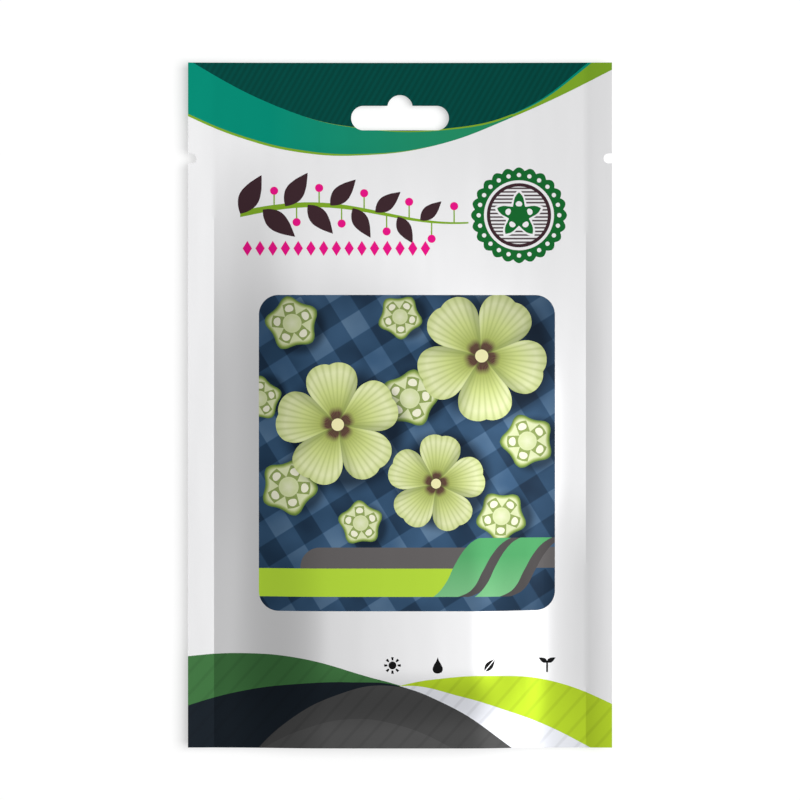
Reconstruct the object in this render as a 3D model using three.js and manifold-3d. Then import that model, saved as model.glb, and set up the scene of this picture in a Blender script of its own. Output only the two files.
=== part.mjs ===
// A foil seed packet, lying on its back with its printed face up. Two laminated films are heat-sealed
// to each other on all four sides, with loose okra seeds between them. The wide header seal at the top
// has a hang slot for a display peg, and a tear notch stands below it on each side.
//
// Millimetres. +Z is up, out of the printed face; +Y runs to the header; +X is to the reader's right.
// The origin is on the surface that the packet lies on, under the middle of its outline.
import * as THREE from "three";
import { mergeVertices } from "three/addons/utils/BufferGeometryUtils.js";
import Module from "manifold-3d";

// Driving dimensions of the packet
const WIDTH = 130;
const HEIGHT = 210;
const FILM_THICKNESS = 0.2;
const SIDE_SEAL = 8;
const HEADER_SEAL = 25;
const BOTTOM_SEAL = 5;

// Filled shape: the back film lies flat on the surface, and the front film bulges over the seeds
const BACK_DEPTH = 3.4; // height of the back film where it is sealed
const BACK_FULLNESS = 2.6; // how soon the back film reaches the surface
const BACK_TOP_RISE = 125; // lengths over which it does, from the header seal and the bottom seal
const BACK_BOTTOM_RISE = 42;
const TOP_RISE = 90; // length over which the front film's bulge grows below the header seal
const BOTTOM_ARCH = 0.55; // share of the bulge that the bottom seal still has, as a low arch
const BOTTOM_RISE = 20; // length over which the bulge is full above the bottom seal
const HEADER_SAG = 1.5; // the header is carried at its sides only, so its middle hangs lower
const SAG_LENGTH = 80;
const SEAL_GAP = 0.05;
const SEAL_CURL = { left: 0.35, right: 0.7 }; // how far the free edge of a side seal turns up

// The front film's cross-section in three zones along the packet. The seeds have slid to the left of
// the middle, so the film climbs from the left seal at once, and on the right it first runs out flat.
// depth: height over the seals. leftFlank, rightFlank: width of the slope on that side. rightFoot: flat
// width beside the right seal. steepness: how steeply the left slope starts. lip: dip in the right foot.
const SHOULDER = { depth: 2.5, leftFlank: 16, rightFlank: 80, rightFoot: 8, steepness: 0.55, lip: 0 };
const BELLY = { depth: 6.5, leftFlank: 43, rightFlank: 36, rightFoot: 5, steepness: 0.55, lip: 0 };
const BASE = { depth: 7.5, leftFlank: 43, rightFlank: 26, rightFoot: 11, steepness: 0.25, lip: 0.3 };
const SHOULDER_FROM = 45; // the shoulder zone is above this height, and changes to the belly by the next
const BELLY_TOP = 0;
const BELLY_BOTTOM = -20;
const BASE_FROM = -55;
const LIP_WIDTH = 20;

// Hang slot: a bar with round ends, and a hump in which the peg sits
const SLOT_WIDTH = 30;
const SLOT_BAR = 7.5;
const SLOT_HUMP_RADIUS = 3.9;
const SLOT_HUMP_RISE = 3.3;
const SLOT_FROM_TOP = 20.7; // the bar's lower edge

// Tear notches: round-ended cuts into both side seals
const NOTCH_RADIUS = 1.5;
const NOTCH_DEPTH = 2.6;
const NOTCH_FROM_TOP = 29.4;

// Loose seeds in the lower half of the pouch
const SEED_COUNT = 46;
const SEED_LENGTH = 5.3;
const SEED_WIDTH = 4.6;
const SEED_TAPER = 0.12; // how much slimmer the end with the scar is
const SEED_SIZE_SPREAD = 0.08;
const SEED_SPACING = 6.4;
const SEED_FIELD = { x: 0, y: -34, halfWidth: 29, halfHeight: 44 };
const SEED_CLEARANCE = 0.15;
const SEED_DRAW = 20483;

// Fineness of the faceted surfaces
const COLUMNS = 20;
const ROWS = 24;
const ARC_STEPS = 10;
const SEED_SIDES = 8;
const SEED_RINGS = 6;
const MERGE_DISTANCE = 1e-4; // corners closer than this are one

// Places worked out from the dimensions above
const INNER_HALF_WIDTH = WIDTH / 2 - SIDE_SEAL;
const INNER_TOP = HEIGHT / 2 - HEADER_SEAL;
const INNER_BOTTOM = -HEIGHT / 2 + BOTTOM_SEAL;
const SEAL_HEIGHT = BACK_DEPTH + FILM_THICKNESS + SEAL_GAP; // underside of the front film at the seals
const CUT_DEPTH = 4 * (SEAL_HEIGHT + BASE.depth); // passes well beyond both films

// A multiplicative congruential generator, for draws that are the same on every run
const DRAW_FACTOR = 16807;
const DRAW_MODULUS = 2147483647;

const FILM_FRONT = new THREE.MeshStandardMaterial({ color: 0xe9e9ea, roughness: 0.34, metalness: 0.05 });
const FILM_BACK = new THREE.MeshStandardMaterial({ color: 0xe4e4e6, roughness: 0.38, metalness: 0.05 });
const SEED_COAT = new THREE.MeshStandardMaterial({ color: 0x4b5344, roughness: 0.8, metalness: 0 });

const wasm = await Module();
wasm.setup();

// A closed geometry as a solid that can be cut.
function toSolid(geometry) {
  const bare = geometry.clone();
  bare.deleteAttribute("normal");
  bare.deleteAttribute("uv");
  const merged = mergeVertices(bare, MERGE_DISTANCE);
  return new wasm.Manifold(
    new wasm.Mesh({
      numProp: 3,
      vertProperties: merged.attributes.position.array,
      triVerts: new Uint32Array(merged.index.array),
    }),
  );
}

// A solid back as a geometry with flat-shaded faces.
function toGeometry(solid) {
  const mesh = solid.getMesh();
  const geometry = new THREE.BufferGeometry();
  geometry.setAttribute("position", new THREE.BufferAttribute(mesh.vertProperties, 3));
  geometry.setIndex(new THREE.BufferAttribute(mesh.triVerts, 1));
  const faceted = geometry.toNonIndexed();
  faceted.computeVertexNormals();
  return faceted;
}

// Grid lines across one direction: the two cut edges, the two seal lines, and lines between the seals
// that stand closer together towards them, where the film bends most.
function gridLines(count, lowEdge, lowSeal, highSeal, highEdge) {
  const middle = (lowSeal + highSeal) / 2;
  const half = (highSeal - lowSeal) / 2;
  const lines = [lowEdge];
  const steps = count - 2;
  for (let i = 0; i <= steps; i++) {
    lines.push(middle + half * Math.sin((Math.PI / 2) * ((2 * i) / steps - 1)));
  }
  lines.push(highEdge);
  return lines;
}

const COLUMN_LINES = gridLines(COLUMNS, -WIDTH / 2, -INNER_HALF_WIDTH, INNER_HALF_WIDTH, WIDTH / 2);
const ROW_LINES = gridLines(ROWS, -HEIGHT / 2, INNER_BOTTOM, INNER_TOP, HEIGHT / 2);

// A rise from 0 to 1 that is steepest at its start.
function rise(distance, length) {
  const t = THREE.MathUtils.clamp(distance / length, 0, 1);
  return 1 - (1 - t) ** 2;
}

// The front film's cross-section at a height, blended between the zones.
function sectionAt(y) {
  const shoulder = THREE.MathUtils.smoothstep(y, BELLY_TOP, SHOULDER_FROM);
  const base = 1 - THREE.MathUtils.smoothstep(y, BASE_FROM, BELLY_BOTTOM);
  const belly = 1 - shoulder - base;
  const section = {};
  for (const key of Object.keys(BELLY)) {
    section[key] = shoulder * SHOULDER[key] + belly * BELLY[key] + base * BASE[key];
  }
  return section;
}

// How far the front film stands over the seals, were it as full at the bottom as above it.
function fullBulge(x, y) {
  const section = sectionAt(y);
  const leftRun = x + INNER_HALF_WIDTH;
  const rightRun = INNER_HALF_WIDTH - x;
  const leftEase = THREE.MathUtils.smoothstep(leftRun, 0, section.leftFlank);
  const left = THREE.MathUtils.lerp(leftEase, rise(leftRun, section.leftFlank), section.steepness);
  const right = THREE.MathUtils.smoothstep(rightRun - section.rightFoot, 0, section.rightFlank);
  const dip = Math.sin(Math.PI * THREE.MathUtils.clamp(rightRun / LIP_WIDTH, 0, 1));
  const across = section.depth * left * right - section.lip * dip;
  return Math.abs(x) < INNER_HALF_WIDTH ? across * rise(INNER_TOP - y, TOP_RISE) : 0;
}

// 0 on the bottom seal, 1 where the packet is as full as it gets above it.
function aboveBottom(y) {
  return THREE.MathUtils.smoothstep(y, INNER_BOTTOM, INNER_BOTTOM + BOTTOM_RISE);
}

// The side seals turn up a little towards their free edges, the right one most beside the crease.
function curl(x) {
  const t = Math.max(0, (Math.abs(x) - INNER_HALF_WIDTH) / SIDE_SEAL);
  return x < 0 ? SEAL_CURL.left * t : (SEAL_CURL.right * (t + rise(t, 1))) / 2;
}

function headerSag(x, y) {
  return -HEADER_SAG * (1 - (x / (WIDTH / 2)) ** 2) * THREE.MathUtils.smoothstep(y, 0, SAG_LENGTH);
}

function frontHeight(x, y) {
  const bulge = fullBulge(x, y) * THREE.MathUtils.lerp(BOTTOM_ARCH, 1, aboveBottom(y));
  return SEAL_HEIGHT + curl(x) + headerSag(x, y) + bulge;
}

function backHeight(x, y) {
  const across = Math.max(0, 1 - (x / INNER_HALF_WIDTH) ** 2);
  const down = rise(INNER_TOP - y, BACK_TOP_RISE) * rise(y - INNER_BOTTOM, BACK_BOTTOM_RISE);
  const hanging = 1 - rise(BACK_FULLNESS * across * down, 1);
  const arch = BOTTOM_ARCH * fullBulge(x, y) * (1 - aboveBottom(y));
  return hanging * (BACK_DEPTH + headerSag(x, y)) + curl(x) + arch;
}

// One film: a thin gridded sheet whose underside follows the given height.
function filmSheet(height) {
  const sheet = new THREE.BoxGeometry(COLUMNS, ROWS, 1, COLUMNS, ROWS, 1);
  const place = sheet.attributes.position;
  for (let i = 0; i < place.count; i++) {
    const x = COLUMN_LINES[Math.round(place.getX(i) + COLUMNS / 2)];
    const y = ROW_LINES[Math.round(place.getY(i) + ROWS / 2)];
    const upperFace = place.getZ(i) > 0 ? FILM_THICKNESS : 0;
    place.setXYZ(i, x, y, height(x, y) + upperFace);
  }
  return sheet;
}

// A prism of an outline, tall enough to cut both films.
function cutter(outline) {
  const prism = new THREE.ExtrudeGeometry(outline, {
    depth: CUT_DEPTH,
    bevelEnabled: false,
    curveSegments: ARC_STEPS,
  });
  return toSolid(prism.translate(0, 0, -CUT_DEPTH / 2));
}

function hangSlot() {
  const low = HEIGHT / 2 - SLOT_FROM_TOP;
  const high = low + SLOT_BAR;
  const endRadius = SLOT_BAR / 2;
  const straight = SLOT_WIDTH / 2 - endRadius;
  const humpCentre = high + SLOT_HUMP_RISE - SLOT_HUMP_RADIUS;
  const humpStart = Math.asin((high - humpCentre) / SLOT_HUMP_RADIUS);
  const outline = new THREE.Shape();
  outline.moveTo(-straight, low);
  outline.lineTo(straight, low);
  outline.absarc(straight, low + endRadius, endRadius, -Math.PI / 2, Math.PI / 2);
  outline.absarc(0, humpCentre, SLOT_HUMP_RADIUS, humpStart, Math.PI - humpStart);
  outline.absarc(-straight, low + endRadius, endRadius, Math.PI / 2, (3 * Math.PI) / 2);
  return cutter(outline);
}

function tearNotch(side) {
  const y = HEIGHT / 2 - NOTCH_FROM_TOP;
  const edge = WIDTH / 2 + NOTCH_DEPTH;
  const roundCentre = WIDTH / 2 - NOTCH_DEPTH + NOTCH_RADIUS;
  const outline = new THREE.Shape();
  outline.moveTo(side * edge, y - side * NOTCH_RADIUS);
  outline.lineTo(side * edge, y + side * NOTCH_RADIUS);
  const turn = side > 0 ? 0 : Math.PI;
  outline.absarc(side * roundCentre, y, NOTCH_RADIUS, turn + Math.PI / 2, turn + (3 * Math.PI) / 2);
  return cutter(outline);
}

const CUTS = [hangSlot(), tearNotch(-1), tearNotch(1)];

// A film with the hang slot and both notches cut out of it.
function film(name, height, material) {
  const cut = CUTS.reduce((sheet, hole) => sheet.subtract(hole), toSolid(filmSheet(height)));
  const mesh = new THREE.Mesh(toGeometry(cut), material);
  mesh.name = name;
  return mesh;
}

// Even draws between 0 and 1.
function evenDraws(start) {
  let state = start;
  return () => {
    state = (state * DRAW_FACTOR) % DRAW_MODULUS;
    return state / DRAW_MODULUS;
  };
}

// Seed places: drawn in an oval field, and kept only if clear of those already there.
function seedPlaces(draw) {
  const places = [];
  while (places.length < SEED_COUNT) {
    const angle = 2 * Math.PI * draw();
    const reach = Math.sqrt(draw());
    const x = SEED_FIELD.x + SEED_FIELD.halfWidth * reach * Math.cos(angle);
    const y = SEED_FIELD.y + SEED_FIELD.halfHeight * reach * Math.sin(angle);
    if (places.every((p) => Math.hypot(p.x - x, p.y - y) > SEED_SPACING)) {
      places.push({ x, y });
    }
  }
  return places;
}

// An egg-shaped seed, long axis along X, drawn out a little at the scar where it was attached.
function seedGeometry() {
  const egg = new THREE.SphereGeometry(0.5, SEED_SIDES, SEED_RINGS).rotateZ(Math.PI / 2);
  const place = egg.attributes.position;
  for (let i = 0; i < place.count; i++) {
    const along = place.getX(i) * 2;
    const width = SEED_WIDTH * (1 - SEED_TAPER * Math.max(0, along));
    place.setXYZ(i, place.getX(i) * SEED_LENGTH, place.getY(i) * width, place.getZ(i) * width);
  }
  return egg;
}

function seeds() {
  const draw = evenDraws(SEED_DRAW);
  const shape = seedGeometry();
  const floor = FILM_THICKNESS + SEED_CLEARANCE;
  return seedPlaces(draw).map(({ x, y }, i) => {
    const size = 1 + SEED_SIZE_SPREAD * (2 * draw() - 1);
    const seed = new THREE.Mesh(shape, SEED_COAT);
    seed.name = `seed_${String(i + 1).padStart(2, "0")}`;
    seed.scale.setScalar(size);
    seed.rotation.z = 2 * Math.PI * draw();
    seed.position.set(x, y, floor + (size * SEED_WIDTH) / 2);
    return seed;
  });
}

const packet = new THREE.Group();
packet.name = "seed_packet";
packet.add(film("front_film", frontHeight, FILM_FRONT));
packet.add(film("back_film", backHeight, FILM_BACK));
packet.add(...seeds());

export default packet;
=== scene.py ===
"""A foil seed packet that lies on its back: two printed laminate films, heat-sealed all round, with
okra seeds between them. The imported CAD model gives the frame, in metres, with +Z out of the printed
face and +Y to the header with the hang slot. Printed places are given in millimetres from the middle
of the packet."""

import math

import bpy
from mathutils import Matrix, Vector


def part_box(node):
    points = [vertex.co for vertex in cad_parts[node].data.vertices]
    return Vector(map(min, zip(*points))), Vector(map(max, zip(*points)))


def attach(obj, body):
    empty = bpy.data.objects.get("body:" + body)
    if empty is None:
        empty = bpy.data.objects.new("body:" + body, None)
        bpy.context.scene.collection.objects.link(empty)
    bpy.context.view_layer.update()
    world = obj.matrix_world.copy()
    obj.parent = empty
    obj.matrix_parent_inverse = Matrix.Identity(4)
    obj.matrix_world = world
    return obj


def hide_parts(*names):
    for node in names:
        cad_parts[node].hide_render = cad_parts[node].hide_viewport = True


bl_info = {
    "name": "Seed Packet",
    "version": (1, 0, 0),
    "blender": (4, 5, 0),
    "location": "View3D > Sidebar > Seed Packet",
    "description": "Models a laminated foil seed packet with a plain garden print",
    "category": "Add Mesh",
}

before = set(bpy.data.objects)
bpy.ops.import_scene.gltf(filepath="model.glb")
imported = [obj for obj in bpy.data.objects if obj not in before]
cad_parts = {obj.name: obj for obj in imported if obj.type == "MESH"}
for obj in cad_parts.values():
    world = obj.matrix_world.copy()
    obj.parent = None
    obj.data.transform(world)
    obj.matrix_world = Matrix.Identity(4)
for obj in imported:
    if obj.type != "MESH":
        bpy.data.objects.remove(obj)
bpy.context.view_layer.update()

MM = 0.001
FILM_LOW, FILM_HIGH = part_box("front_film")
WIDTH = FILM_HIGH.x - FILM_LOW.x
HEIGHT = FILM_HIGH.y - FILM_LOW.y
HALF_WIDTH = WIDTH / 2
HALF_HEIGHT = HEIGHT / 2

# The front film's cross-section in three zones along the packet, finer than in the CAD model. depth: height
# over the seals. left_reach: width over which the film rises from the left seal, the steepest part of it after
# left_foot, over left_flank. right_foot: flat width beside the right seal. right_flank: width of the
# steep slope beyond it. right_crest: width of the gentle slope over both. steepness: share of the left
# rise that starts at the seal. lip: dip in the right foot.
SHOULDER = {
    "depth": 2.2 * MM,
    "left_foot": 0,
    "left_flank": 26 * MM,
    "left_reach": 30 * MM,
    "right_foot": 8 * MM,
    "right_flank": 80 * MM,
    "right_crest": 90 * MM,
    "steepness": 0.55,
    "lip": 0,
}
BELLY = {
    "depth": 6.5 * MM,
    "left_foot": 4 * MM,
    "left_flank": 32 * MM,
    "left_reach": 45 * MM,
    "right_foot": 4 * MM,
    "right_flank": 37 * MM,
    "right_crest": 50 * MM,
    "steepness": 0.55,
    "lip": 0,
}
BASE = {
    "depth": 7.5 * MM,
    "left_foot": 4 * MM,
    "left_flank": 32 * MM,
    "left_reach": 57 * MM,
    "right_foot": 10.5 * MM,
    "right_flank": 26 * MM,
    "right_crest": 42 * MM,
    "steepness": 0.42,
    "lip": 0.45 * MM,
}
CREST_SHARE = 0.1
SHOULDER_FROM = 45 * MM
BELLY_TOP = 0
BELLY_BOTTOM = -20 * MM
BASE_FROM = -55 * MM
LIP_WIDTH = 20 * MM

# Lengths over which the films leave the seals
TOP_RISE = 90 * MM
BOTTOM_RISE = 20 * MM
BACK_TOP_RISE = 125 * MM
BACK_BOTTOM_RISE = 42 * MM
BACK_FULLNESS = 2.6
BOTTOM_ARCH = 0.55
SAG_LENGTH = 80 * MM
LEFT_CURL = 0.35 * MM
RIGHT_CURL = 0.65 * MM
CURL_FADE = 0.75
CURL_FROM = 10 * MM
CURL_TO = 75 * MM

# Fineness of the films: grid squares of 1 mm, so that grid lines fall on the seal lines
COLUMNS = round(WIDTH / MM)
ROWS = round(HEIGHT / MM)
ROUND_STEPS = 16
CREASE_ANGLE = math.radians(3)
CUT_DEPTH = 60 * MM


def linear(code):
    """An sRGB hex colour as the linear red, green, blue and alpha that shaders take."""
    channels = [int(code[i : i + 2], 16) / 255 for i in (1, 3, 5)]
    return [c / 12.92 if c <= 0.04045 else ((c + 0.055) / 1.055) ** 2.4 for c in channels] + [1.0]


def size(name, description, default):
    """A length that a user may change."""
    return bpy.props.FloatProperty(
        name=name, description=description, default=default, min=0, precision=5, unit="LENGTH"
    )


def ink(name, description, code):
    """A colour that a user may change."""
    return bpy.props.FloatVectorProperty(
        name=name, description=description, default=linear(code), size=4, min=0, max=1, subtype="COLOR"
    )


class PacketShape(bpy.types.PropertyGroup):
    """Sizes of the sealed pouch"""

    thickness: size("Film", "Thickness of one laminate film", 0.2 * MM)
    side_seal: size("Side seal", "Width of the heat seal on each side", 8 * MM)
    header_seal: size("Header seal", "Height of the sealed header", 25 * MM)
    bottom_seal: size("Bottom seal", "Height of the heat seal along the bottom", 5 * MM)
    back_depth: size("Seal height", "Height of the back film at the seals", 3.4 * MM)
    seal_gap: size("Seal gap", "Gap between the films at the seals", 0.05 * MM)
    header_sag: size("Header sag", "How far the middle of the header hangs down", 1.5 * MM)
    slot_width: size("Slot width", "Width of the hang slot", 30 * MM)
    slot_bar: size("Slot bar", "Height of the slot's straight bar", 7.5 * MM)
    slot_low: size("Slot place", "Distance of the bar's lower edge from the top", 20.7 * MM)
    hump_radius: size("Hump radius", "Radius of the hump that a peg sits in", 3.9 * MM)
    hump_rise: size("Hump rise", "Height of the hump over the bar", 3.3 * MM)
    notch_radius: size("Notch radius", "Radius of the tear notches", 1.5 * MM)
    notch_depth: size("Notch depth", "Depth of the tear notches", 2.6 * MM)
    notch_low: size("Notch place", "Distance of the notches from the top", 29.4 * MM)


class PrintInks(bpy.types.PropertyGroup):
    """Colours of the film and its inks"""

    film: ink("Film", "White laminate", "#d9d9da")
    dark_green: ink("Dark green", "Header field", "#00443d")
    teal: ink("Teal", "Header crescent, left", "#00806b")
    sea_green: ink("Sea green", "Header crescent, right", "#228259")
    lime: ink("Lime", "Footer wave and thin lines", "#a8c32a")
    olive: ink("Olive", "Header tail", "#759b26")
    green: ink("Green", "Footer wave", "#3d6c3d")
    navy: ink("Navy", "Footer wave", "#181f26")
    grey: ink("Grey", "Footer hill", "#444444")
    lilac: ink("Lilac", "Footer wedge", "#d6d8de")
    brown: ink("Brown", "Stems and rings", "#38242a")
    magenta: ink("Magenta", "Berries and lozenges", "#d3117b")
    black: ink("Black", "Pictograms", "#101011")
    ribbon: ink("Ribbon", "Slanted stripes on the picture", "#52a266")
    label_grey: ink("Label grey", "Bar across the picture", "#605d5d")
    label_lime: ink("Label lime", "Bar across the picture", "#aed13b")


class StageLight(bpy.types.PropertyGroup):
    """Camera and light of the studio shot"""

    lens: bpy.props.FloatProperty(
        name="Lens", description="Focal length of the camera", default=200, unit="CAMERA"
    )
    view_width: size("View", "Width of the picture at the seals", 245.3 * MM)
    view_offset: size("View offset", "Height of the picture's middle over the packet's", 1.53 * MM)
    key_power: bpy.props.FloatProperty(
        name="Key", description="Power of the softbox on the right", default=165, unit="POWER"
    )
    key_size: size("Key size", "Side of the softbox", 3.2)
    key_distance: size("Key distance", "Distance of the softbox", 4.0)
    key_elevation: bpy.props.FloatProperty(
        name="Key elevation",
        description="Angle of the softbox over the floor",
        default=math.radians(60),
        subtype="ANGLE",
    )
    fill: bpy.props.FloatProperty(
        name="Fill", description="Strength of the even light from all round", default=0.22
    )


def mix(low, high, share):
    return low + (high - low) * share


def ease(value, start, end):
    """0 at start, 1 at end, flat at both."""
    t = min(1, max(0, (value - start) / (end - start)))
    return t * t * (3 - 2 * t)


def soft_ease(value, start, end):
    """The same, and without a crease in its slope at either end."""
    t = min(1, max(0, (value - start) / (end - start)))
    return t * t * t * (t * (6 * t - 15) + 10)


def rise(distance, length):
    """0 at a seal, 1 beyond the length, steepest at the seal."""
    t = min(1, max(0, distance / length))
    return 1 - (1 - t) ** 2


def section_at(y):
    """The front film's cross-section at a height, blended between the zones."""
    shoulder = ease(y, BELLY_TOP, SHOULDER_FROM)
    base = 1 - ease(y, BASE_FROM, BELLY_BOTTOM)
    belly = 1 - shoulder - base
    return {key: shoulder * SHOULDER[key] + belly * BELLY[key] + base * BASE[key] for key in BELLY}


class FilmForm:
    """The heights of both films over the surface that the packet lies on."""

    def __init__(self, shape):
        self.shape = shape
        self.inner_half = HALF_WIDTH - shape.side_seal
        self.inner_top = HALF_HEIGHT - shape.header_seal
        self.inner_bottom = shape.bottom_seal - HALF_HEIGHT

    def bulge(self, x, y):
        """How far the front film stands over the seals, were it as full at the bottom as above it."""
        if abs(x) >= self.inner_half:
            return 0
        section = section_at(y)
        left_run = x + self.inner_half
        right_run = self.inner_half - x
        left_ease = soft_ease(left_run - section["left_foot"], 0, section["left_flank"])
        left = mix(left_ease, rise(left_run, section["left_reach"]), section["steepness"])
        right_ease = soft_ease(right_run - section["right_foot"], 0, section["right_flank"])
        right_crest = ease(right_run - section["right_foot"], 0, section["right_crest"])
        right = mix(right_ease, right_crest, CREST_SHARE)
        dip = math.sin(math.pi * min(1, right_run / LIP_WIDTH))
        across = section["depth"] * left * right - section["lip"] * dip
        return across * rise(self.inner_top - y, TOP_RISE)

    def above_bottom(self, y):
        return ease(y, self.inner_bottom, self.inner_bottom + BOTTOM_RISE)

    def curl(self, x, y):
        """The side seals turn up a little towards their free edges, least of all beside the header."""
        t = max(0, abs(x) - self.inner_half) / self.shape.side_seal
        strength = 1 - CURL_FADE * ease(y, CURL_FROM, CURL_TO)
        return strength * (LEFT_CURL * t if x < 0 else RIGHT_CURL * (t + rise(t, 1)) / 2)

    def sag(self, x, y):
        """The header is carried at its sides only."""
        return -self.shape.header_sag * (1 - (x / HALF_WIDTH) ** 2) * ease(y, 0, SAG_LENGTH)

    def front(self, x, y):
        seal = self.shape.back_depth + self.shape.thickness + self.shape.seal_gap
        full = self.bulge(x, y) * mix(BOTTOM_ARCH, 1, self.above_bottom(y))
        return seal + self.curl(x, y) + self.sag(x, y) + full

    def back(self, x, y):
        across = max(0, 1 - (x / self.inner_half) ** 2)
        down = rise(self.inner_top - y, BACK_TOP_RISE) * rise(y - self.inner_bottom, BACK_BOTTOM_RISE)
        hanging = 1 - rise(BACK_FULLNESS * across * down, 1)
        arch = BOTTOM_ARCH * self.bulge(x, y) * (1 - self.above_bottom(y))
        return hanging * (self.shape.back_depth + self.sag(x, y)) + self.curl(x, y) + arch


def film_sheet(name, height_at, thickness):
    """A film as a fine grid that follows the given height, thickened upwards."""
    bpy.ops.object.select_all(action="DESELECT")
    bpy.ops.mesh.primitive_grid_add(x_subdivisions=COLUMNS, y_subdivisions=ROWS, size=1)
    sheet = bpy.context.object
    sheet.name = name
    sheet.data.name = name
    bpy.ops.object.mode_set(mode="EDIT")
    bpy.ops.transform.resize(value=(WIDTH, HEIGHT, 1))
    bpy.ops.object.mode_set(mode="OBJECT")
    for vertex in sheet.data.vertices:
        vertex.co.z = height_at(vertex.co.x, vertex.co.y)
    web = sheet.modifiers.new("web", "SOLIDIFY")
    web.thickness = thickness
    web.offset = 1
    bpy.ops.object.modifier_apply(modifier=web.name)
    return sheet


def rounded_block(name, low, high, radius, rounded):
    """A tall block between two corners, with the upright edges that pass the test rounded."""
    bpy.ops.object.select_all(action="DESELECT")
    middle = ((low[0] + high[0]) / 2, (low[1] + high[1]) / 2, 0)
    bpy.ops.mesh.primitive_cube_add(size=1)
    block = bpy.context.object
    block.name = name
    bpy.ops.object.mode_set(mode="EDIT")
    bpy.ops.transform.resize(value=(high[0] - low[0], high[1] - low[1], CUT_DEPTH))
    bpy.ops.transform.translate(value=middle)
    bpy.ops.mesh.select_mode(type="EDGE")
    bpy.ops.mesh.select_all(action="DESELECT")
    bpy.ops.object.mode_set(mode="OBJECT")
    select_uprights(block.data, rounded)
    bpy.ops.object.mode_set(mode="EDIT")
    bpy.ops.mesh.bevel(offset=radius, segments=ROUND_STEPS, affect="EDGES", clamp_overlap=True)
    bpy.ops.mesh.select_all(action="SELECT")
    bpy.ops.mesh.remove_doubles(threshold=MM / 1000)
    bpy.ops.object.mode_set(mode="OBJECT")
    return block


def select_uprights(mesh, test):
    """Select the upright edges whose place, as (x, y), passes the test."""
    for edge in mesh.edges:
        a, b = (mesh.vertices[i].co for i in edge.vertices)
        upright = abs(a.z - b.z) > CUT_DEPTH / 2 and (a.xy - b.xy).length < MM / 100
        edge.select = upright and test(a.x, a.y)


def combine(piece, tool, operation):
    """Join a tool to a piece, or cut it out of the piece, and remove the tool."""
    bpy.ops.object.select_all(action="DESELECT")
    bpy.context.view_layer.objects.active = piece
    cut = piece.modifiers.new("cut", "BOOLEAN")
    cut.object = tool
    cut.operation = operation
    cut.solver = "EXACT"
    bpy.ops.object.modifier_apply(modifier=cut.name)
    bpy.data.objects.remove(tool)


def cut_slot_and_notches(sheet, shape):
    """Cut the hang slot and both tear notches out of a film."""
    bar_low = HALF_HEIGHT - shape.slot_low
    bar_high = bar_low + shape.slot_bar
    half = shape.slot_width / 2
    bar = rounded_block(
        "slot_bar", (-half, bar_low), (half, bar_high), shape.slot_bar / 2, lambda x, y: True
    )
    radius = shape.hump_radius
    hump_low = (-radius, (bar_low + bar_high) / 2)
    hump_high = (radius, bar_high + shape.hump_rise)
    hump = rounded_block("slot_hump", hump_low, hump_high, radius, lambda x, y: y > bar_high)
    combine(bar, hump, "UNION")
    combine(sheet, bar, "DIFFERENCE")
    notch_y = HALF_HEIGHT - shape.notch_low
    notch_end = HALF_WIDTH - shape.notch_depth
    beyond = HALF_WIDTH + shape.notch_depth
    for side in (-1, 1):
        ends = sorted((side * notch_end, side * beyond))
        notch = rounded_block(
            "notch",
            (ends[0], notch_y - shape.notch_radius),
            (ends[1], notch_y + shape.notch_radius),
            shape.notch_radius,
            lambda x, y: abs(x) < HALF_WIDTH,
        )
        combine(sheet, notch, "DIFFERENCE")


# The UV map of a film: the printed face fills all of it but a strip for the inner face
MAP_NAME = "OFBake"
INNER_STRIP = 0.04
EDGE_PATCH = 0.01


def finish_film(sheet, outward, zones, inside, edge):
    """Shade a film, give its faces their materials, and lay its printed face out over its UV map.
    zones are (height, material) pairs from the top down, each material holding above its height."""
    bpy.ops.object.select_all(action="DESELECT")
    sheet.select_set(True)
    bpy.context.view_layer.objects.active = sheet
    bpy.ops.object.shade_smooth_by_angle(angle=CREASE_ANGLE)
    mesh = sheet.data
    for material in [material for _, material in zones] + [inside, edge]:
        mesh.materials.append(material)
    places = mesh.uv_layers.new(name=MAP_NAME).data
    for face in mesh.polygons:
        facing = face.normal.z * outward
        printed = facing > 0.5
        if printed:
            face.material_index = next(i for i, zone in enumerate(zones) if face.center.y > zone[0])
        else:
            face.material_index = len(zones) if facing < -0.5 else len(zones) + 1
        for corner in face.loop_indices:
            spot = mesh.vertices[mesh.loops[corner].vertex_index].co
            u = spot.x / WIDTH + 0.5
            v = spot.y / HEIGHT + 0.5
            if printed:
                places[corner].uv = (u, mix(INNER_STRIP, 1, v))
            elif facing < -0.5:
                places[corner].uv = (mix(EDGE_PATCH, 1, u), v * INNER_STRIP * 0.9)
            else:
                turn = 2 * math.pi * (corner - face.loop_start) / face.loop_total
                places[corner].uv = (
                    EDGE_PATCH * (1 + math.cos(turn)) / 2,
                    EDGE_PATCH * (1 + math.sin(turn)) / 2,
                )


# A square corner keeps this much of a radius
HAIRLINE = 0.01
# Length of one band of the wave texture at scale 1
WAVE_LENGTH = 2 * math.pi / 20
SHADOW_INK = "#0a1420"


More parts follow.
